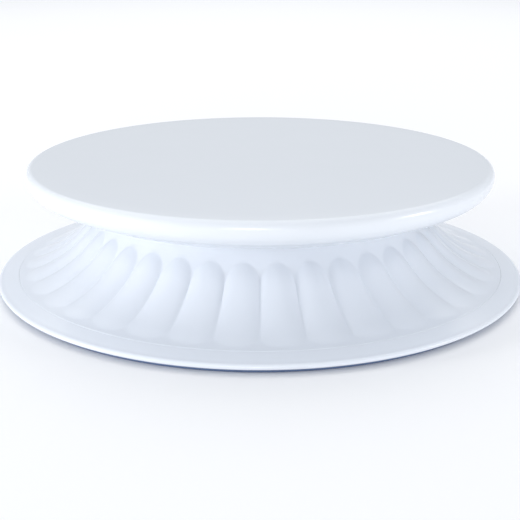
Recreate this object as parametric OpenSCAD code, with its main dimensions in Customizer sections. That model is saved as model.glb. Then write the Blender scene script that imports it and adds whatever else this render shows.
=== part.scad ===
// Cake turntable: a double-walled plate that turns on a ring of balls over a reeded, trumpet-shaped base.
// Millimetres, +Z up. The origin is on the table under the spin axis, and the front is -Y.

/* [Plate] */
// Diameter of the plate at its widest
plate_d = 279; // [264:1:300]
// Height of the plate's top face above the table
height = 72.5; // [70:0.5:84]
// Radius of the rolled shoulder between the top face and the side
shoulder_r = 4; // [2.5:0.25:4.5]
// Radius of the side where it curves in under the plate
side_r = 10.5; // [9:0.5:12]
// Slope of the plate's underside between its side and its lip, in degrees
under_slope = 23; // [18:1:26]
// How far the lip under the plate lies inside the plate's edge
lip_inset = 21; // [19:0.5:25]
// Wall of the two plate mouldings
plate_wall = 2.4; // [2:0.1:2.8]

/* [Base] */
// Diameter of the base ring
base_d = 318; // [310:1:330]
// Radius of the hollow sweep from the neck to the flange
sweep_r = 68; // [62:1:72]
// Height of the flange where the sweep ends
flange_z = 8.75; // [8.5:0.25:9.5]
// Slope of the flange where the sweep ends, in degrees
flange_slope = 9.5; // [8:0.5:11]
// Wall of the base shell
shell_wall = 2.8; // [2.4:0.1:3]
// Height of the gap under the base ring that the foot ring holds open
foot_gap = 2.5; // [2:0.25:3]

/* [Reeds] */
// Number of reeds around the base
reed_count = 36; // [30:1:40]
// How far a reed stands proud of the base at its head
reed_relief = 3; // [2:0.25:4]
// Height of the tops of the reed heads
reed_top_z = 39; // [34:0.5:42]
// Angle down the sweep at which the reeds run out, in degrees
reed_foot_angle = 79; // [70:1:79]
// Share of the relief that is left at the foot of a reed
reed_foot_share = 0.1; // [0.05:0.05:0.6]

/* [Bearing] */
// Diameter of the bearing balls
ball_d = 5; // [4:0.5:5.5]
// Number of bearing balls
ball_count = 20; // [12:1:28]
// Radius of the circle that the balls run on
ball_circle_r = 79; // [70:1:80]
// Thickness of the two races
race_t = 2; // [1.8:0.1:2.4]
// Depth of the ball groove in each race
groove_depth = 0.8; // [0.5:0.1:0.9]
// Diameter of the spindle
spindle_d = 12; // [10:0.5:13]

/* [Fits] */
// Radial clearance of the spindle in its bushes
bush_play = 0.05; // [0.02:0.01:0.1]
// Clearance between a ball and the bottom of its groove
ball_play = 0.05; // [0.02:0.01:0.1]
// Clearance between a ball and its pocket in the cage
pocket_play = 0.1; // [0.05:0.01:0.2]
// Clearance between parts that locate in one another
slip = 0.1; // [0.05:0.01:0.2]

/* [Hidden] */
$fn = 96;

// Plate heights and radii
plate_r = plate_d / 2;
seam_z = height - shoulder_r;
plate_under_z = height - plate_wall;
side_cx = plate_r - side_r;
side_end = under_slope - 90;
side_end_r = side_cx + side_r * cos(side_end);
side_end_z = seam_z + side_r * sin(side_end);
lip_r = plate_r - lip_inset;
lip_z = side_end_z - (side_end_r - lip_r) * tan(under_slope);
lip_cap_r = plate_wall / 2;
lip_cap_x = lip_r - lip_cap_r * sin(under_slope);
lip_cap_z = lip_z + lip_cap_r * cos(under_slope);
register_depth = 2;
register_t = 1.6;
rib_t = 2;

// Stack of the bearing, from the plate's deck down to the deck of the carrier
deck_wall = 2;
deck_drop = 12.6;
deck_top = height - deck_drop;
deck_bottom = deck_top - deck_wall;
upper_race_z = deck_bottom - race_t;
race_gap = ball_d + 2 * ball_play - 2 * groove_depth;
lower_race_z = upper_race_z - race_gap - race_t;
ball_z = upper_race_z - race_gap / 2;
race_inner_w = 13;
race_outer_w = 7;
race_screw_inset = 9.5;
race_inner_r = ball_circle_r - race_inner_w;
race_outer_r = ball_circle_r + race_outer_w;
race_screw_r = ball_circle_r - race_screw_inset;
groove_r = ball_d / 2 + 2 * ball_play;
cage_t = 1;
cage_half_w = 4.5;

// Rim: the shell's edge, and the ring that it sits in
base_r = base_d / 2;
rim_w = 12;
shell_edge_r = base_r - rim_w;
shell_edge_round = 1.6;
shell_edge_from = 50;
shell_edge_t = 2.3;
seat_z = flange_z - shell_edge_t;
ring_w = 19.5;
seat_inner_r = base_r - ring_w;
ring_lip = 1.75;
ring_band_drop = 1;
ring_edge_r = (seat_z + ring_lip - ring_band_drop - foot_gap) / 2;
cover_t = 2;
cover_z = foot_gap + 0.1;
cover_inset = 14.6;
cover_r = base_r - cover_inset;
foot_inset = 5;
foot_w = 7;
foot_outer_r = base_r - foot_inset;
foot_inner_r = foot_outer_r - foot_w;
foot_seat = 2;
foot_round = 1;

// Sweep of the base: its centre, and the neck that the carrier closes
sweep_end_r = shell_edge_r - shell_edge_round * (1 - sin(flange_slope));
sweep_cx = sweep_end_r + sweep_r * sin(flange_slope);
sweep_cz = flange_z + sweep_r * cos(flange_slope);
carrier_top = lower_race_z;
carrier_lip_t = 1.5;
carrier_deck_t = 3;
neck_top = carrier_top - carrier_lip_t;
neck_r = sweep_cx - sweep_r * cos(sweep_angle(neck_top, sweep_r));
neck_inner_r = sweep_cx - inner_sweep_r() * cos(sweep_angle(neck_top, inner_sweep_r()));

// Reeds: half width, radius of the rounded section, and their ends along the sweep
reed_top_angle = sweep_angle(reed_top_z, sweep_r);
reed_head_r = sweep_cx - sweep_r * cos(reed_top_angle);
reed_half_w = PI * reed_head_r / reed_count;
reed_section_r = (reed_half_w ^ 2 + reed_relief ^ 2) / (2 * reed_relief);
reed_length = sweep_r * (reed_foot_angle - reed_top_angle) * PI / 180;
columns_per_reed = 4;
sweep_rows = 10;
inner_rows = 6;

// Spindle and its bushes
spindle_r = spindle_d / 2;
spindle_flange_r = 18;
spindle_flange_t = 2;
spindle_screw_circle = 13;
hub_boss_r = 20;
hub_boss_depth = 4.4;
bush_t = 3;
bush_r = spindle_r + bush_play + bush_t;
bush_length = 10;
bush_flange_r = bush_r + 2;
bush_flange_t = 1;
hub_tube_r = bush_r + 4;
hub_tube_z = 20;
washer_t = 1;
washer_gap = 0.05;
washer_r = spindle_r + 4;
washer_top = hub_tube_z - bush_flange_t - washer_gap;
clip_t = 1;
clip_top = washer_top - washer_t;
clip_depth = 0.8;
clip_play = 0.05;
clip_mouth = 60;
spindle_end_z = clip_top - clip_t - 3;

// Screws: circles, counts and sizes
skirt_screw_inset = 18.5;
skirt_screw_circle = lip_r - skirt_screw_inset;
skirt_screw_count = 8;
skirt_screw_length = 9;
skirt_boss_r = 4;
cover_screw_inset = 9;
cover_screw_circle = neck_inner_r - cover_screw_inset;
cover_screw_count = 6;
cover_screw_length = 14;
cover_boss_r = 5;
race_screw_count = 4;
race_boss_r = 4;
race_boss_depth = 4;
m4 = 2;
m3 = 1.5;
m25 = 1.25;
hole_play = 0.2;
pan_share = 0.85;
cross_share = 0.55;

function inner_sweep_r() = sweep_r + shell_wall;

// Angle down the sweep at which a curve of radius r about the sweep's centre reaches height z
function sweep_angle(z, r) = z < sweep_cz ? asin((sweep_cz - z) / r) : 0;

// Points [r, z] along an arc
function arc(cx, cz, r, from, to, steps) =
    [for (i = [0 : steps]) let (a = from + (to - from) * i / steps) [cx + r * cos(a), cz + r * sin(a)]];

// Points [r, z] down the shell's inner face at one angle of the sweep
function inner_point(a) = [sweep_cx - inner_sweep_r() * cos(a), sweep_cz - inner_sweep_r() * sin(a)];

// Rounded section of a reed at distance d from its crest line
function reed_cap(d) = d < reed_half_w
    ? sqrt(reed_section_r ^ 2 - d ^ 2) - reed_section_r + reed_relief
    : 0;

// Height of a reed at s down its length and x across its head: both ends are rounded like the section
function reed_height(s, x) =
    let (past = max(0, reed_half_w - s, s - reed_length + reed_half_w))
    let (fade = 1 - (1 - reed_foot_share) * max(0, min(1, s / reed_length)))
    fade * reed_cap(norm([past, x]));

// Rows of the shell as [r, z, normal r, normal z, distance down the reed], from the neck to the edge
shell_rows = concat(
    [[neck_r, neck_top, 1, 0, -reed_half_w]],
    [for (i = [0 : sweep_rows])
        let (a = reed_top_angle + (90 - flange_slope - reed_top_angle) * i / sweep_rows)
        [sweep_cx - sweep_r * cos(a), sweep_cz - sweep_r * sin(a), cos(a), sin(a),
         sweep_r * (a - reed_top_angle) * PI / 180]],
    [for (p = arc(shell_edge_r - shell_edge_round, flange_z - shell_edge_round * cos(flange_slope),
                  shell_edge_round, shell_edge_from, 0, 2)) [p[0], p[1], 0, 1, 2 * reed_length]],
    [[shell_edge_r, seat_z, 0, 0, 2 * reed_length]],
    [for (i = [0 : inner_rows])
        let (first = sweep_angle(seat_z, inner_sweep_r()), last = sweep_angle(neck_top, inner_sweep_r()))
        let (p = inner_point(first + (last - first) * i / inner_rows))
        [p[0], i == inner_rows ? neck_top : i == 0 ? seat_z : p[1], 0, 0, 2 * reed_length]]
);

module ring(inner_r, outer_r, z, h) {
    translate([0, 0, z])
        difference() {
            cylinder(h = h, r = outer_r);
            translate([0, 0, -1])
                cylinder(h = h + 2, r = inner_r);
        }
}

module around(count, circle_r, start = 0) {
    for (i = [0 : count - 1])
        rotate([0, 0, start + i * 360 / count])
            translate([circle_r, 0, 0])
                children();
}

// Pan-head screw standing head down: the head's flat face is at z = 0 and the shank points up
module pan_screw(shank_r, length) {
    head_r = shank_r * 1.9;
    head_h = shank_r * pan_share;
    slot_w = shank_r * 0.45;
    difference() {
        union() {
            translate([0, 0, -head_h])
                cylinder(h = head_h, r1 = head_r * 0.8, r2 = head_r, $fn = 32);
            cylinder(h = length, r = shank_r, $fn = 32);
        }
        for (turn = [0, 90])
            rotate([0, 0, turn])
                translate([-head_r * cross_share, -slot_w / 2, -head_h - 1])
                    cube([2 * head_r * cross_share, slot_w, 1 + head_h * 0.6]);
    }
}

// Countersunk screw whose flat head is flush at z = 0 and whose shank points up
module flush_screw(shank_r, length) {
    cylinder(h = shank_r, r1 = 2 * shank_r, r2 = shank_r, $fn = 32);
    cylinder(h = length, r = shank_r, $fn = 32);
}

module screw_hole(shank_r, z, h) {
    translate([0, 0, z])
        cylinder(h = h, r = shank_r, $fn = 32);
}

// Disc with a rolled edge: ribs, and bosses for the skirt's screws, stand under it
module top_plate() {
    register_r = side_cx + sqrt((side_r - plate_wall) ^ 2 - register_depth ^ 2) - slip;
    rib_r = register_r - register_t - 2;
    rib_z = deck_top + 4;
    ring_ribs = [26, 0.45 * plate_r, skirt_screw_circle];
    color("#e6ebf2")
        difference() {
            union() {
                rotate_extrude()
                    polygon(concat(
                        [[0, plate_under_z], [0, height]],
                        arc(plate_r - shoulder_r, seam_z, shoulder_r, 90, 0, 8),
                        [[plate_r - plate_wall, seam_z], [register_r, seam_z],
                         [register_r, seam_z - register_depth],
                         [register_r - register_t, seam_z - register_depth],
                         [register_r - register_t, plate_under_z]]));
                for (r = ring_ribs)
                    ring(r - rib_t / 2, r + rib_t / 2, rib_z, plate_under_z - rib_z + 0.5);
                for (i = [0 : 15])
                    rotate([0, 0, i * 22.5 + 11.25])
                        translate([ring_ribs[0], -rib_t / 2, rib_z])
                            cube([rib_r - ring_ribs[0], rib_t, plate_under_z - rib_z + 0.5]);
                around(skirt_screw_count, skirt_screw_circle)
                    screw_hole(skirt_boss_r, deck_top, plate_under_z - deck_top + 0.5);
            }
            around(skirt_screw_count, skirt_screw_circle)
                screw_hole(m3, deck_top - 1, plate_under_z - deck_top);
        }
}

// Lower half of the plate: curved side, lip, inner deck and the hub that takes the spindle
module plate_skirt() {
    inner_side_r = side_r - plate_wall;
    wall_x = lip_cap_x + lip_cap_r;
    channel_end = [side_cx + inner_side_r * cos(side_end), seam_z + inner_side_r * sin(side_end)];
    channel_z = channel_end[1] - (channel_end[0] - wall_x) * tan(under_slope);
    hub_z = deck_bottom - hub_boss_depth;
    color("#dfe4ec")
        difference() {
            union() {
                rotate_extrude()
                    polygon(concat(
                        arc(side_cx, seam_z, side_r, 0, side_end, 10),
                        arc(lip_cap_x, lip_cap_z, lip_cap_r, side_end, -180, 4),
                        [[lip_cap_x - lip_cap_r, deck_bottom], [hub_boss_r, deck_bottom],
                         [hub_boss_r, hub_z], [spindle_r + slip / 2, hub_z],
                         [spindle_r + slip / 2, deck_top], [wall_x, deck_top], [wall_x, channel_z]],
                        arc(side_cx, seam_z, inner_side_r, side_end, 0, 10)));
                around(race_screw_count, race_screw_r)
                    screw_hole(race_boss_r, deck_bottom + 1, race_boss_depth);
            }
            around(race_screw_count, race_screw_r)
                screw_hole(m25, deck_bottom - 1, race_boss_depth + 1);
            around(skirt_screw_count, skirt_screw_circle)
                screw_hole(m3 + hole_play, deck_bottom - 1, deck_wall + 2);
            around(3, spindle_screw_circle)
                screw_hole(m3, hub_z - 1, deck_wall + hub_boss_depth + 2);
        }
}

module skirt_screws() {
    color("#b9bcc0")
        around(skirt_screw_count, skirt_screw_circle)
            translate([0, 0, deck_bottom])
                pan_screw(m3, skirt_screw_length);
}

// Flat steel ring with a rolled groove in its top face
module race() {
    difference() {
        ring(race_inner_r, race_outer_r, 0, race_t);
        rotate_extrude()
            translate([ball_circle_r, race_t - groove_depth + groove_r])
                circle(r = groove_r, $fn = 48);
        around(race_screw_count, race_screw_r)
            translate([0, 0, race_t])
                rotate([180, 0, 0])
                    flush_screw_hole();
    }
}

module flush_screw_hole() {
    translate([0, 0, -0.01])
        cylinder(h = m25 + slip, r1 = 2 * m25 + slip, r2 = m25, $fn = 32);
    translate([0, 0, -1])
        cylinder(h = race_t + 2, r = m25 + hole_play / 2, $fn = 32);
}

module upper_race() {
    color("#c9ccd0")
        translate([0, 0, upper_race_z + race_t])
            mirror([0, 0, 1])
                race();
}

module lower_race() {
    color("#c9ccd0")
        translate([0, 0, lower_race_z])
            race();
}

module upper_race_screws() {
    color("#b9bcc0")
        around(race_screw_count, race_screw_r)
            translate([0, 0, upper_race_z])
                flush_screw(m25, race_t + race_boss_depth - 1);
}

module lower_race_screws() {
    color("#b9bcc0")
        around(race_screw_count, race_screw_r)
            translate([0, 0, lower_race_z + race_t])
                mirror([0, 0, 1])
                    flush_screw(m25, race_t + race_boss_depth - 1);
}

// Turned steel pin with a flange on the deck and a groove for its clip
module spindle() {
    color("#c4c8cc")
        difference() {
            union() {
                translate([0, 0, spindle_end_z])
                    cylinder(h = deck_top - spindle_end_z, r = spindle_r);
                translate([0, 0, deck_top])
                    cylinder(h = spindle_flange_t, r = spindle_flange_r);
            }
            ring(spindle_r - clip_depth, spindle_r + 1, clip_top - clip_t, clip_t);
            around(3, spindle_screw_circle)
                screw_hole(m3 + hole_play, deck_top - 1, spindle_flange_t + 2);
        }
}

module spindle_screws() {
    color("#b9bcc0")
        around(3, spindle_screw_circle)
            translate([0, 0, deck_top + spindle_flange_t])
                mirror([0, 0, 1])
                    pan_screw(m3, spindle_flange_t + deck_wall + 3);
}

module thrust_washer() {
    color("#e9e4d6")
        ring(spindle_r + clip_play, washer_r, washer_top - washer_t, washer_t);
}

// Snap ring with an open mouth, seated in the spindle's groove
module retaining_ring() {
    color("#9da1a6")
        difference() {
            ring(spindle_r - clip_depth, washer_r - 1, clip_top - clip_t, clip_t);
            translate([0, 0, clip_top - clip_t - 1])
                linear_extrude(clip_t + 2)
                    polygon([[0, 0],
                             [2 * washer_r * cos(clip_mouth / 2), -2 * washer_r * sin(clip_mouth / 2)],
                             [2 * washer_r * cos(clip_mouth / 2), 2 * washer_r * sin(clip_mouth / 2)]]);
        }
}

module ball_cage() {
    color("#ece8dc")
        difference() {
            ring(ball_circle_r - cage_half_w, ball_circle_r + cage_half_w, ball_z - cage_t / 2, cage_t);
            around(ball_count, ball_circle_r)
                screw_hole(ball_d / 2 + pocket_play, ball_z - cage_t, 2 * cage_t);
        }
}

module bearing_balls() {
    color("#d8dade")
        around(ball_count, ball_circle_r)
            translate([0, 0, ball_z])
                sphere(d = ball_d, $fn = 32);
}

// Deck that closes the neck and carries the lower race, with the hub tube and the cover's bosses
module bearing_carrier() {
    deck_z = carrier_top - carrier_deck_t;
    rib_z = deck_z - 9;
    spigot_r = neck_inner_r - slip;
    boss_bottom = cover_z + cover_t;
    color("#d5dae2")
        difference() {
            union() {
                ring(bush_r, spigot_r, deck_z, carrier_deck_t);
                ring(spigot_r - 1, neck_r, neck_top, carrier_lip_t);
                ring(bush_r, hub_tube_r, hub_tube_z, carrier_top - hub_tube_z);
                ring(race_inner_r - 3, race_inner_r - 0.2, carrier_top - 0.5, 1.5);
                for (i = [0 : 11])
                    rotate([0, 0, i * 30 + 15])
                        translate([hub_tube_r - 0.5, -rib_t / 2, rib_z])
                            cube([spigot_r - hub_tube_r - 2, rib_t, carrier_top - rib_z - 1]);
                around(cover_screw_count, cover_screw_circle)
                    screw_hole(cover_boss_r, boss_bottom, deck_z + 1 - boss_bottom);
                around(race_screw_count, race_screw_r)
                    screw_hole(race_boss_r, deck_z - race_boss_depth, race_boss_depth + 1);
            }
            around(cover_screw_count, cover_screw_circle)
                screw_hole(m4, boss_bottom - 1, cover_screw_length + 2);
            around(race_screw_count, race_screw_r)
                screw_hole(m25, deck_z - race_boss_depth + 1, race_boss_depth + carrier_deck_t);
        }
}

// Flanged sleeve with its flange at z = 0 and its sleeve pointing down
module bush() {
    difference() {
        union() {
            translate([0, 0, -bush_length])
                cylinder(h = bush_length + bush_flange_t, r = bush_r);
            cylinder(h = bush_flange_t, r = bush_flange_r);
        }
        translate([0, 0, -bush_length - 1])
            cylinder(h = bush_length + bush_flange_t + 2, r = spindle_r + bush_play);
    }
}

module upper_bush() {
    color("#e9e4d6")
        translate([0, 0, carrier_top])
            bush();
}

module lower_bush() {
    color("#e9e4d6")
        translate([0, 0, hub_tube_z])
            mirror([0, 0, 1])
                bush();
}

// Trumpet-shaped shell with reeds: rows of points from the neck, over the edge and back up inside
module base_shell() {
    rows = len(shell_rows);
    columns = reed_count * columns_per_reed;
    pitch = 360 / columns;
    points = [for (row = shell_rows, c = [0 : columns - 1])
        let (turn = c * pitch - 90)
        let (off_crest = 2 * (c % columns_per_reed) / columns_per_reed - 1)
        let (h = reed_height(row[4], abs(off_crest) * reed_half_w))
        let (r = row[0] + h * row[2])
        [r * cos(turn), r * sin(turn), row[1] + h * row[3]]];
    faces = [for (j = [0 : rows - 1], c = [0 : columns - 1])
        let (a = j * columns + c)
        let (b = j * columns + (c + 1) % columns)
        let (below = ((j + 1) % rows - j) * columns)
        each [[a, b, b + below], [a, b + below, a + below]]];
    color("#dce1eb")
        polyhedron(points, faces, convexity = 10);
}

// Outer ring of the base: seat for the shell, rounded edge, and grooves for the foot ring and cover
module base_ring() {
    band_r = shell_edge_r + slip;
    band_z = seat_z + ring_lip;
    edge_x = base_r - ring_edge_r;
    edge_z = foot_gap + ring_edge_r;
    color("#d3dae6")
        rotate_extrude()
            polygon(concat(
                [[seat_inner_r, seat_z], [band_r, seat_z], [band_r, band_z]],
                arc(edge_x, edge_z, ring_edge_r, 90, -90, 12),
                [[foot_outer_r + slip, foot_gap], [foot_outer_r + slip, foot_gap + foot_seat],
                 [foot_inner_r - slip, foot_gap + foot_seat], [foot_inner_r - slip, foot_gap],
                 [cover_r + slip, foot_gap], [cover_r + slip, cover_z + cover_t],
                 [seat_inner_r, cover_z + cover_t]]));
}

module foot_ring() {
    color("#8794a8")
        rotate_extrude()
            polygon(concat(
                arc(foot_outer_r - foot_round, foot_round, foot_round, 0, -90, 4),
                arc(foot_inner_r + foot_round, foot_round, foot_round, -90, -180, 4),
                [[foot_inner_r, foot_gap + foot_seat], [foot_outer_r, foot_gap + foot_seat]]));
}

module bottom_cover() {
    color("#cfd5de")
        difference() {
            union() {
                translate([0, 0, cover_z])
                    cylinder(h = cover_t, r = cover_r);
                for (r = [0.25 * cover_r, 0.45 * cover_r, 0.75 * cover_r])
                    ring(r - rib_t / 2, r + rib_t / 2, cover_z + 1, cover_t + 3);
            }
            around(cover_screw_count, cover_screw_circle)
                screw_hole(m4 + hole_play, cover_z - 1, cover_t + 2);
        }
}

module cover_screws() {
    color("#b9bcc0")
        around(cover_screw_count, cover_screw_circle)
            translate([0, 0, cover_z])
                pan_screw(m4, cover_screw_length);
}

top_plate();
plate_skirt();
skirt_screws();
upper_race();
upper_race_screws();
spindle();
spindle_screws();
thrust_washer();
retaining_ring();
ball_cage();
bearing_balls();
lower_race();
lower_race_screws();
bearing_carrier();
upper_bush();
lower_bush();
base_shell();
base_ring();
foot_ring();
bottom_cover();
cover_screws();
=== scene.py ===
from math import acos, asin, cos, degrees, hypot, pi, radians, sin, sqrt, tan

import bpy
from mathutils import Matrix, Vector


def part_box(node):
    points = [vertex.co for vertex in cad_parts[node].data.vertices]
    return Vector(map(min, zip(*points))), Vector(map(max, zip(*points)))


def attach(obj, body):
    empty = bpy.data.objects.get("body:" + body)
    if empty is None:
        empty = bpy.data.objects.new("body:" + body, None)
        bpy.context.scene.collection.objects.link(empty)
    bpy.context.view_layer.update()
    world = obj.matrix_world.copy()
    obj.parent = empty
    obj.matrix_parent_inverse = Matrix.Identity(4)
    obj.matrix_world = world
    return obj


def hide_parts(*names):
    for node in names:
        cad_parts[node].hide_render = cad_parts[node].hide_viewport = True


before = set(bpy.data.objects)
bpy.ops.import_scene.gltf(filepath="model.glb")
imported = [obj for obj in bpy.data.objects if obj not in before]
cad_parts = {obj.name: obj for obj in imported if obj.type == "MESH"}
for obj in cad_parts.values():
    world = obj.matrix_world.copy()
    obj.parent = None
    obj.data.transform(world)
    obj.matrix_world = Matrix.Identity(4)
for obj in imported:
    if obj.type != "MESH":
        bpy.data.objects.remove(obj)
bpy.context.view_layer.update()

MM = 0.001
SLIP = 0.1 * MM

# Plate: the disc, the skirt that curls in under it, and the deck and hub inside
TOP_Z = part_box("top_plate")[1].z
PLATE_R = 139.5 * MM
PLATE_WALL = 2.4 * MM
SHOULDER_R = 4 * MM
SEAM_Z = TOP_Z - SHOULDER_R
SIDE_R = 10.5 * MM
UNDER_SLOPE = radians(23)
LIP_INSET = 21 * MM
REGISTER_WALL = 1.6 * MM
REGISTER_DEPTH = 2 * MM
DECK_DROP = 12.6 * MM
DECK_WALL = 2 * MM
HUB_BOSS_R = 20 * MM
HUB_BOSS_DEPTH = 4.4 * MM
SPINDLE_BORE_R = 6.05 * MM

# Base: its radius, the trumpet's sweep and the shell's edge
BASE_R = 159 * MM
RIM_W = 12 * MM
SWEEP_R = 68 * MM
FLANGE_Z = 8.75 * MM
FLANGE_SLOPE = radians(9.5)
SHELL_WALL = 2.8 * MM
SHELL_EDGE_T = 2.3 * MM
SHELL_EDGE_R = BASE_R - RIM_W
EDGE_ROUND = 0.2 * MM
NECK_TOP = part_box("base_shell")[1].z
SEAT_Z = FLANGE_Z - SHELL_EDGE_T

# The sweep's centre is set by the wider round that the CAD shell has at its edge
CAD_EDGE_ROUND = 1.6 * MM
SWEEP_END_R = SHELL_EDGE_R - CAD_EDGE_ROUND * (1 - sin(FLANGE_SLOPE))
SWEEP_X = SWEEP_END_R + SWEEP_R * sin(FLANGE_SLOPE)
SWEEP_Z = FLANGE_Z + SWEEP_R * cos(FLANGE_SLOPE)

# Ring: the rim around the shell, and the grooves under it for the foot and the cover. The undercut
# starts a few degrees below the widest place.
RING_W = 19.5 * MM
RING_LIP = 1.95 * MM
RIM_WIDEST_Z = 5 * MM
RIM_SHOULDER_W = 2.2 * MM
RIM_SHOULDER_H = 1.3 * MM
RIM_UNDERCUT_W = 3.8 * MM
RIM_UNDERCUT_FROM = -8
FOOT_GAP = 2.5 * MM
FOOT_SEAT = 2 * MM
FOOT_ROUND = 1 * MM
FOOT_INSET = 5 * MM
FOOT_W = 7 * MM
FOOT_OUTER_R = BASE_R - FOOT_INSET
FOOT_INNER_R = FOOT_OUTER_R - FOOT_W
COVER_INSET = 14.6 * MM
COVER_T = 2 * MM
COVER_TOP = FOOT_GAP + SLIP + COVER_T

# Reeds: their number, their relief, and where on the sweep they start and end. FOOT_SHARE is the share
# of the relief that is left at the foot, and a HEAD_TAPER below 1 draws the heads out.
REEDS = 36
RELIEF = 2.2 * MM
REED_TOP_Z = 39 * MM
REED_FOOT_ANGLE = radians(79)
FOOT_SHARE = 0.1
HEAD_TAPER = 0.65

# Fineness of the turned pieces, and how they are welded and smoothed
COLUMNS = 256
COLUMNS_PER_REED = 22
WELD = 0.002 * MM
SMOOTH_ANGLE = radians(40)

# Camera: where it looks, from how far and how steeply, and its lens and sensor width in millimetres
LOOK_AT = Vector((0, 0, 7.9 * MM))
VIEW_DISTANCE = 670.1 * MM
VIEW_RISE = radians(18.12)
LENS = 74.3
SENSOR = 36

# Studio: the floor lies a hair below the foot, and each light has a place, a width and a power
FLOOR_SIZE = 12
FLOOR_DROP = 0.02 * MM
FLOOR_TONE = (0.97, 0.97, 0.98, 1)
SKY_TONE = (0.93, 0.96, 1.0, 1)
SKY_STRENGTH = 0.63
LIGHTS = {
    "key": ((-1.7, -0.5, 0.24), 0.42, 16),
    "fill": ((1.68, -0.5, 0.24), 0.42, 8),
    "front": ((-0.15, -1.8, 0.16), 0.5, 8),
    "back": ((0.0, 1.2, 2.1), 3.4, 30)}


def deselect_all():
    if bpy.context.object and bpy.context.object.mode != "OBJECT":
        bpy.ops.object.mode_set(mode="OBJECT")
    bpy.ops.object.select_all(action="DESELECT")


# ---------------------------------------------------------------- turning

def oval(x, z, wide, high, start, end, steps):
    """Points (radius, height) along part of an oval, with its angles in degrees."""
    angles = [radians(start + (end - start) * i / steps) for i in range(steps + 1)]
    return [(x + wide * cos(a), z + high * sin(a)) for a in angles]


def arc(x, z, r, start, end, steps):
    """Points along an arc."""
    return oval(x, z, r, r, start, end, steps)


def between(a, b, steps):
    """Points from a towards b, both left out."""
    shares = [i / steps for i in range(1, steps)]
    return [(a[0] + (b[0] - a[0]) * share, a[1] + (b[1] - a[1]) * share) for share in shares]


def extrude_to(here, point):
    """Draws an outline on by one point. It stands in the plane x = 0, with its radii along -Y."""
    step = (0, here[0] - point[0], point[1] - here[1])
    bpy.ops.mesh.extrude_region_move(TRANSFORM_OT_translate={"value": step})


def spun(name, outline, columns):
    """Draws an outline by extruding one vertex along it, then spins it about Z into a closed shell."""
    deselect_all()
    first = outline[0]
    # A small plane, merged into its centre, is the vertex that the outline starts from
    bpy.ops.mesh.primitive_plane_add(size=MM, location=(0, -first[0], first[1]))
    piece = bpy.context.object
    piece.name = piece.data.name = name
    bpy.ops.object.transform_apply(location=True, rotation=True, scale=True)
    bpy.ops.object.mode_set(mode="EDIT")
    bpy.ops.mesh.select_all(action="SELECT")
    bpy.ops.mesh.merge(type="CENTER")
    stays_off_axis = first[0] > 0
    stops = outline + [first] if stays_off_axis else outline
    for here, point in zip(stops, stops[1:]):
        extrude_to(here, point)
    bpy.ops.mesh.select_all(action="SELECT")
    bpy.ops.mesh.spin(steps=columns, angle=2 * pi, center=(0, 0, 0), axis=(0, 0, 1))
    bpy.ops.mesh.select_all(action="SELECT")
    bpy.ops.mesh.remove_doubles(threshold=WELD)
    bpy.ops.mesh.normals_make_consistent(inside=False)
    bpy.ops.object.mode_set(mode="OBJECT")
    return piece


def finish_piece(piece, material, body, replaced):
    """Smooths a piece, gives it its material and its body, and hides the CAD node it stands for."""
    deselect_all()
    piece.select_set(True)
    bpy.context.view_layer.objects.active = piece
    bpy.ops.object.shade_smooth_by_angle(angle=SMOOTH_ANGLE)
    piece.data.materials.clear()
    piece.data.materials.append(material)
    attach(piece, body)
    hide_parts(replaced)


# ---------------------------------------------------------------- plate

def turned_plate():
    """The flat disc with its rolled shoulder, and the spigot under it that finds the skirt."""
    spigot_r = PLATE_R - SIDE_R + sqrt((SIDE_R - PLATE_WALL) ** 2 - REGISTER_DEPTH ** 2) - SLIP
    spigot_inner_r = spigot_r - REGISTER_WALL
    spigot_z = SEAM_Z - REGISTER_DEPTH
    under_z = TOP_Z - PLATE_WALL
    centre = (0, TOP_Z)
    shoulder = arc(PLATE_R - SHOULDER_R, SEAM_Z, SHOULDER_R, 90, 0, steps=16)
    outline = [centre] + between(centre, shoulder[0], steps=12) + shoulder
    outline += [(PLATE_R - PLATE_WALL, SEAM_Z), (spigot_r, SEAM_Z), (spigot_r, spigot_z),
                (spigot_inner_r, spigot_z), (spigot_inner_r, under_z), (0, under_z)]
    return spun("turned_plate", outline, COLUMNS)


def curved_skirt():
    """The plate's side that curls in underneath to a round lip, with its deck and hub."""
    end = UNDER_SLOPE - pi / 2
    side_x = PLATE_R - SIDE_R
    lip_r = PLATE_R - LIP_INSET
    lip_z = SEAM_Z + SIDE_R * sin(end) - (side_x + SIDE_R * cos(end) - lip_r) * tan(UNDER_SLOPE)
    cap_r = PLATE_WALL / 2
    cap_x = lip_r - cap_r * sin(UNDER_SLOPE)
    cap_z = lip_z + cap_r * cos(UNDER_SLOPE)
    wall_x = cap_x + cap_r
    inner_r = SIDE_R - PLATE_WALL
    channel_x = side_x + inner_r * cos(end)
    channel_z = SEAM_Z + inner_r * sin(end) - (channel_x - wall_x) * tan(UNDER_SLOPE)
    deck_top = TOP_Z - DECK_DROP
    deck_z = deck_top - DECK_WALL
    boss_z = deck_z - HUB_BOSS_DEPTH
    outline = arc(side_x, SEAM_Z, SIDE_R, 0, degrees(end), steps=24)
    lip = arc(cap_x, cap_z, cap_r, degrees(end), -180, steps=10)
    outline += between(outline[-1], lip[0], steps=4) + lip
    outline += [(cap_x - cap_r, deck_z), (HUB_BOSS_R, deck_z), (HUB_BOSS_R, boss_z),
                (SPINDLE_BORE_R, boss_z), (SPINDLE_BORE_R, deck_top), (wall_x, deck_top),
                (wall_x, channel_z)]
    outline += arc(side_x, SEAM_Z, inner_r, degrees(end), 0, steps=12)
    return spun("curved_skirt", outline, COLUMNS)


# ---------------------------------------------------------------- base

def sweep_angle(z, r):
    """How far down the sweep a height lies, as the angle from its horizontal radius."""
    return asin((SWEEP_Z - z) / r)


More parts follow.
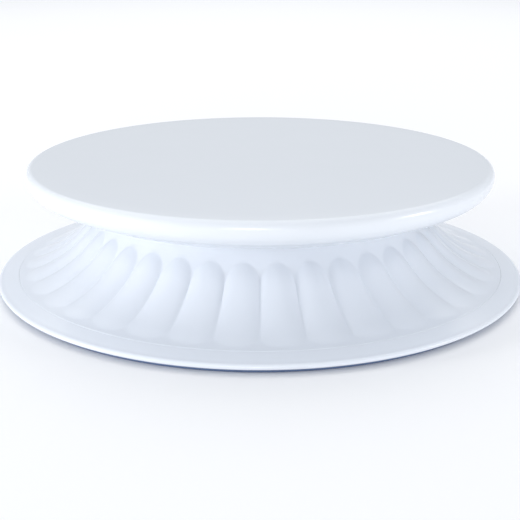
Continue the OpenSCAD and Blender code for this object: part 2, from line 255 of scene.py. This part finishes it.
def sweep_points(r, first, last, rows):
    """Points down the sweep at radius r about its centre, between two angles."""
    angles = [first + (last - first) * i / rows for i in range(rows + 1)]
    return [(SWEEP_X - r * cos(a), SWEEP_Z - r * sin(a)) for a in angles]


def reed_lift(along, across, half_w, length):
    """How far a reed stands proud at a place along and across it: a round section with round ends."""
    section_r = (half_w ** 2 + RELIEF ** 2) / (2 * RELIEF)
    past_end = max(0, half_w - HEAD_TAPER * along, along - length + half_w)
    off_line = hypot(past_end, across)
    if off_line >= half_w:
        return 0
    fade = 1 - (1 - FOOT_SHARE) * max(0, min(1, along / length)) ** 2
    return fade * (sqrt(section_r ** 2 - off_line ** 2) - section_r + RELIEF)


def reeded_shell():
    """The trumpet of the base, spun plain and then raised into reeds along its sweep."""
    inner_r = SWEEP_R + SHELL_WALL
    neck_angle = sweep_angle(NECK_TOP, SWEEP_R)
    top_angle = sweep_angle(REED_TOP_Z, SWEEP_R)
    end_angle = acos((SWEEP_X - SHELL_EDGE_R + EDGE_ROUND) / SWEEP_R)
    edge_z = SWEEP_Z - SWEEP_R * sin(end_angle) - EDGE_ROUND
    neck = sweep_points(SWEEP_R, neck_angle, top_angle, rows=5)
    sweep = sweep_points(SWEEP_R, top_angle, end_angle, rows=56)
    edge = arc(SHELL_EDGE_R - EDGE_ROUND, edge_z, EDGE_ROUND, 60, 0, steps=4)
    inner = sweep_points(inner_r, sweep_angle(SEAT_Z, inner_r), sweep_angle(NECK_TOP, inner_r), rows=9)
    outline = neck[:-1] + sweep + edge + [(SHELL_EDGE_R, SEAT_Z)] + inner
    shell = spun("reeded_shell", outline, REEDS * COLUMNS_PER_REED)
    raise_reeds(shell, top_angle)
    return shell


def raise_reeds(shell, top_angle):
    """Lifts the outer face square to the sweep. Widths are counted as at the reeds' narrow heads."""
    pitch = 2 * pi / REEDS
    half_w = (SWEEP_X - SWEEP_R * cos(top_angle)) * pitch / 2
    length = SWEEP_R * (REED_FOOT_ANGLE - top_angle)
    front = Vector((0, -1))
    mid_wall_r = SWEEP_R + SHELL_WALL / 2
    for vertex in shell.data.vertices:
        x, y, z = vertex.co
        r = hypot(x, y)
        is_inside = hypot(SWEEP_X - r, SWEEP_Z - z) > mid_wall_r
        if is_inside or r > SHELL_EDGE_R - EDGE_ROUND:
            continue
        angle = acos(min(1, (SWEEP_X - r) / SWEEP_R))
        # 0 on a crest, -1 and 1 in the grooves beside it
        off_crest = 2 * (Vector((x, y)).angle_signed(front) % pitch) / pitch - 1
        lift = reed_lift(SWEEP_R * (angle - top_angle), off_crest * half_w, half_w, length)
        vertex.co.x += x / r * cos(angle) * lift
        vertex.co.y += y / r * cos(angle) * lift
        vertex.co.z += sin(angle) * lift
    shell.data.update()


def rim_ring():
    """The ring around the shell's foot: a sloping band, a thin round edge, and grooves underneath."""
    band_x = SHELL_EDGE_R + SLIP
    band = (band_x, SEAT_Z + RING_LIP)
    seat_inner_r = BASE_R - RING_W
    groove_outer_r = FOOT_OUTER_R + SLIP
    groove_inner_r = FOOT_INNER_R - SLIP
    groove_top = FOOT_GAP + FOOT_SEAT
    recess_r = BASE_R - COVER_INSET + SLIP
    edge = oval(BASE_R - RIM_SHOULDER_W, RIM_WIDEST_Z, RIM_SHOULDER_W, RIM_SHOULDER_H, 90, 0, steps=12)
    edge += oval(BASE_R - RIM_UNDERCUT_W, RIM_WIDEST_Z, RIM_UNDERCUT_W, RIM_WIDEST_Z - FOOT_GAP,
                 RIM_UNDERCUT_FROM, -90, steps=12)
    outline = [(seat_inner_r, SEAT_Z), (band_x, SEAT_Z), band] + between(band, edge[0], steps=5) + edge
    outline += [(groove_outer_r, FOOT_GAP), (groove_outer_r, groove_top),
                (groove_inner_r, groove_top), (groove_inner_r, FOOT_GAP),
                (recess_r, FOOT_GAP), (recess_r, COVER_TOP), (seat_inner_r, COVER_TOP)]
    return spun("rim_ring", outline, COLUMNS)


def soft_foot():
    """The silicone ring that the base stands on, rounded where it meets the table. Its dark blue tone is
    partly the ring's own grey-blue and partly painted contact shadow under the base's edge.
    """
    groove_top = FOOT_GAP + FOOT_SEAT
    outline = arc(FOOT_OUTER_R - FOOT_ROUND, FOOT_ROUND, FOOT_ROUND, 0, -90, steps=8)
    outline += arc(FOOT_INNER_R + FOOT_ROUND, FOOT_ROUND, FOOT_ROUND, -90, -180, steps=8)
    outline += [(FOOT_INNER_R, groove_top), (FOOT_OUTER_R, groove_top)]
    return spun("soft_foot", outline, COLUMNS)


# ---------------------------------------------------------------- effects

WHITE = (1, 1, 1, 1)
MARK_DEPTH = 0.02 * MM
MARK_REACH = 0.2


def new_effect(name, inputs):
    """An empty effect group with the given inputs, which puts out a colour, a roughness and a height."""
    effect = bpy.data.node_groups.new(name, "ShaderNodeTree")
    for label, value in inputs.items():
        kind = "NodeSocketColor" if isinstance(value, tuple) else "NodeSocketFloat"
        effect.interface.new_socket(label, in_out="INPUT", socket_type=kind).default_value = value
    effect.interface.new_socket("Color", in_out="OUTPUT", socket_type="NodeSocketColor")
    effect.interface.new_socket("Roughness", in_out="OUTPUT", socket_type="NodeSocketFloat")
    effect.interface.new_socket("Height", in_out="OUTPUT", socket_type="NodeSocketFloat")
    return effect, effect.nodes.new("NodeGroupInput").outputs, effect.nodes.new("NodeGroupOutput").inputs


def feed(effect, source, target):
    """Links another node's output to an input, or sets the input to a plain number."""
    if isinstance(source, bpy.types.NodeSocket):
        effect.links.new(source, target)
    else:
        target.default_value = source


def noise(effect, place, scale, detail):
    """Noise over the whole piece."""
    texture = effect.nodes.new("ShaderNodeTexNoise")
    feed(effect, place, texture.inputs["Vector"])
    feed(effect, scale, texture.inputs["Scale"])
    feed(effect, detail, texture.inputs["Detail"])
    return texture.outputs["Fac"]


def ring_noise(effect, place, scale, detail):
    """Noise that changes only with the distance from the Z axis."""
    flat = effect.nodes.new("ShaderNodeVectorMath")
    flat.operation = "MULTIPLY"
    feed(effect, place, flat.inputs[0])
    feed(effect, (1, 1, 0), flat.inputs[1])
    radius = effect.nodes.new("ShaderNodeVectorMath")
    radius.operation = "LENGTH"
    feed(effect, flat.outputs["Vector"], radius.inputs[0])
    texture = effect.nodes.new("ShaderNodeTexNoise")
    texture.noise_dimensions = "1D"
    feed(effect, radius.outputs["Value"], texture.inputs["W"])
    feed(effect, scale, texture.inputs["Scale"])
    feed(effect, detail, texture.inputs["Detail"])
    return texture.outputs["Fac"]


def blend(effect, share, first, second):
    """A colour between two others, by a share."""
    tone = effect.nodes.new("ShaderNodeMix")
    tone.data_type = "RGBA"
    feed(effect, share, tone.inputs["Factor"])
    feed(effect, first, tone.inputs["A"])
    feed(effect, second, tone.inputs["B"])
    return tone.outputs["Result"]


def spread(effect, share, reach, base):
    """A value that goes up from a base by a share of its reach."""
    value = effect.nodes.new("ShaderNodeMath")
    value.operation = "MULTIPLY_ADD"
    feed(effect, share, value.inputs[0])
    feed(effect, reach, value.inputs[1])
    feed(effect, base, value.inputs[2])
    return value.outputs["Value"]


def mould_skin_effect():
    """Moulded plastic: slow drift of tone, fine orange peel, and faint patches of handling."""
    effect, given, result = new_effect("mould_skin", {
        "Tone": WHITE, "Drift": WHITE, "Roughness": 0.3, "Handling": 0.05, "Peel Scale": 500})
    place = effect.nodes.new("ShaderNodeTexCoord").outputs["Object"]
    drift = noise(effect, place, scale=9, detail=3)
    patches = noise(effect, place, scale=38, detail=1)
    peel = noise(effect, place, scale=given["Peel Scale"], detail=2)
    feed(effect, blend(effect, drift, given["Tone"], given["Drift"]), result["Color"])
    feed(effect, spread(effect, patches, given["Handling"], given["Roughness"]), result["Roughness"])
    feed(effect, peel, result["Height"])
    return effect


def turned_marks_effect():
    """Turned steel: fine rings about the spin axis that break up the gloss."""
    effect, given, result = new_effect("turned_marks", {
        "Tone": WHITE, "Dark": WHITE, "Roughness": 0.3, "Ring Scale": 2500})
    place = effect.nodes.new("ShaderNodeTexCoord").outputs["Object"]
    marks = ring_noise(effect, place, scale=given["Ring Scale"], detail=4)
    feed(effect, blend(effect, marks, given["Tone"], given["Dark"]), result["Color"])
    feed(effect, spread(effect, marks, MARK_REACH, given["Roughness"]), result["Roughness"])
    feed(effect, marks, result["Height"])
    return effect


MOULD_SKIN = mould_skin_effect()
TURNED_MARKS = turned_marks_effect()


# ---------------------------------------------------------------- materials

def surface(name, effect, values, bump, metallic, ior):
    """A material whose colour, roughness and bump come from an effect group."""
    material = bpy.data.materials.new(name)
    material.use_nodes = True
    nodes, links = material.node_tree.nodes, material.node_tree.links
    shader = nodes["Principled BSDF"]
    skin = nodes.new("ShaderNodeGroup")
    skin.node_tree = effect
    for label, value in values.items():
        skin.inputs[label].default_value = value
    relief = nodes.new("ShaderNodeBump")
    relief.inputs["Strength"].default_value = bump
    relief.inputs["Distance"].default_value = MARK_DEPTH
    links.new(skin.outputs["Color"], shader.inputs["Base Color"])
    links.new(skin.outputs["Roughness"], shader.inputs["Roughness"])
    links.new(skin.outputs["Height"], relief.inputs["Height"])
    links.new(relief.outputs["Normal"], shader.inputs["Normal"])
    shader.inputs["Metallic"].default_value = metallic
    shader.inputs["IOR"].default_value = ior
    return material


def plastic(name, tone, drift, roughness, handling, peel=500, bump=0.12, ior=1.47):
    """Moulded plastic. Drift is the tone that it wanders to, and handling roughens it in patches."""
    values = {"Tone": (*tone, 1), "Drift": (*drift, 1), "Roughness": roughness,
              "Handling": handling, "Peel Scale": peel}
    return surface(name, MOULD_SKIN, values, bump, metallic=0.0, ior=ior)


def steel(name, tone, dark, roughness, rings=2500):
    """Turned steel. Dark is the tone that its rings go to."""
    values = {"Tone": (*tone, 1), "Dark": (*dark, 1), "Roughness": roughness, "Ring Scale": rings}
    return surface(name, TURNED_MARKS, values, bump=0.4, metallic=1.0, ior=1.5)


plate_white = plastic("plate_white", (0.745, 0.78, 0.83), (0.757, 0.79, 0.84), 0.22, 0.015)
# The base's white is a bluer copy of the plate's white: the extra blue is painted shade, for the blue
# shade the base sits in under the plate.
base_white_painted_blue_shade = plastic("base_white_painted_blue_shade", (0.76, 0.80, 0.865), (0.772, 0.81, 0.875), 0.24, 0.015)
carrier_white = plastic("carrier_white", (0.60, 0.63, 0.68), (0.62, 0.65, 0.70), 0.45, 0.1, peel=900)
cover_white = plastic("cover_white", (0.56, 0.60, 0.66), (0.58, 0.62, 0.68), 0.5, 0.12,
                      peel=1400, bump=0.8)
acetal = plastic("acetal", (0.76, 0.72, 0.62), (0.80, 0.76, 0.67), 0.38, 0.1, peel=800)
# Silicone foot: its own grey-blue tone, made darker and bluer as painted contact shadow in the gap under
# the rim.
silicone_and_contact_shadow = plastic("silicone_and_contact_shadow", (0.10, 0.15, 0.27), (0.12, 0.17, 0.30), 0.62, 0.15,
                   peel=1200, bump=0.6, ior=1.41)
race_steel = steel("race_steel", (0.62, 0.63, 0.65), (0.45, 0.46, 0.48), 0.2)
ball_steel = steel("ball_steel", (0.80, 0.81, 0.83), (0.72, 0.73, 0.75), 0.05, rings=900)
spindle_steel = steel("spindle_steel", (0.58, 0.59, 0.61), (0.42, 0.43, 0.45), 0.22)
spring_steel = steel("spring_steel", (0.10, 0.10, 0.11), (0.06, 0.06, 0.07), 0.35)
screw_zinc = steel("screw_zinc", (0.56, 0.57, 0.59), (0.44, 0.45, 0.47), 0.25, rings=1500)

NODE_FINISH = {
    "top_plate": plate_white, "plate_skirt": plate_white,
    "base_shell": base_white_painted_blue_shade, "base_ring": base_white_painted_blue_shade, "foot_ring": silicone_and_contact_shadow,
    "bearing_carrier": carrier_white, "bottom_cover": cover_white,
    "upper_race": race_steel, "lower_race": race_steel,
    "bearing_balls": ball_steel, "ball_cage": acetal,
    "spindle": spindle_steel, "upper_bush": acetal, "lower_bush": acetal,
    "thrust_washer": acetal, "retaining_ring": spring_steel,
    "skirt_screws": screw_zinc, "upper_race_screws": screw_zinc, "lower_race_screws": screw_zinc,
    "spindle_screws": screw_zinc, "cover_screws": screw_zinc}


def finish_nodes():
    """Gives each CAD node its material."""
    for name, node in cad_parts.items():
        node.data.materials.clear()
        node.data.materials.append(NODE_FINISH[name])


# ---------------------------------------------------------------- stage, light and camera

def stage():
    deselect_all()
    bpy.ops.mesh.primitive_plane_add(size=FLOOR_SIZE, location=(0, 0, -FLOOR_DROP))
    floor = bpy.context.object
    floor.name = "floor"
    paper = bpy.data.materials.new("paper")
    paper.use_nodes = True
    shader = paper.node_tree.nodes["Principled BSDF"]
    shader.inputs["Base Color"].default_value = FLOOR_TONE
    shader.inputs["Roughness"].default_value = 0.9
    shader.inputs["Specular IOR Level"].default_value = 0
    floor.data.materials.append(paper)


def soft_light(name, place, width, power):
    """A round lamp that faces the turntable."""
    data = bpy.data.lights.new(name, "AREA")
    data.shape = "DISK"
    data.size = width
    data.energy = power
    light = bpy.data.objects.new(name, data)
    light.location = place
    light.rotation_euler = (LOOK_AT - Vector(place)).to_track_quat("-Z", "Y").to_euler()
    bpy.context.scene.collection.objects.link(light)


def light_studio():
    world = bpy.data.worlds.new("studio")
    world.use_nodes = True
    sky = world.node_tree.nodes["Background"]
    sky.inputs["Color"].default_value = SKY_TONE
    sky.inputs["Strength"].default_value = SKY_STRENGTH
    bpy.context.scene.world = world
    bpy.context.scene.view_settings.view_transform = "Standard"
    for name, (place, width, power) in LIGHTS.items():
        soft_light(name, place, width, power)


def aim_camera():
    data = bpy.data.cameras.new("camera")
    data.lens = LENS
    data.sensor_width = SENSOR
    camera = bpy.data.objects.new("camera", data)
    back = Vector((0, -cos(VIEW_RISE), sin(VIEW_RISE)))
    camera.location = LOOK_AT + VIEW_DISTANCE * back
    camera.rotation_euler = (-back).to_track_quat("-Z", "Y").to_euler()
    bpy.context.scene.collection.objects.link(camera)
    bpy.context.scene.camera = camera


aim_camera()
finish_nodes()
finish_piece(turned_plate(), plate_white, "plate", "top_plate")
finish_piece(curved_skirt(), plate_white, "plate", "plate_skirt")
finish_piece(reeded_shell(), base_white_painted_blue_shade, "base", "base_shell")
finish_piece(rim_ring(), base_white_painted_blue_shade, "base", "base_ring")
finish_piece(soft_foot(), silicone_and_contact_shadow, "base", "foot_ring")
stage()
light_studio()
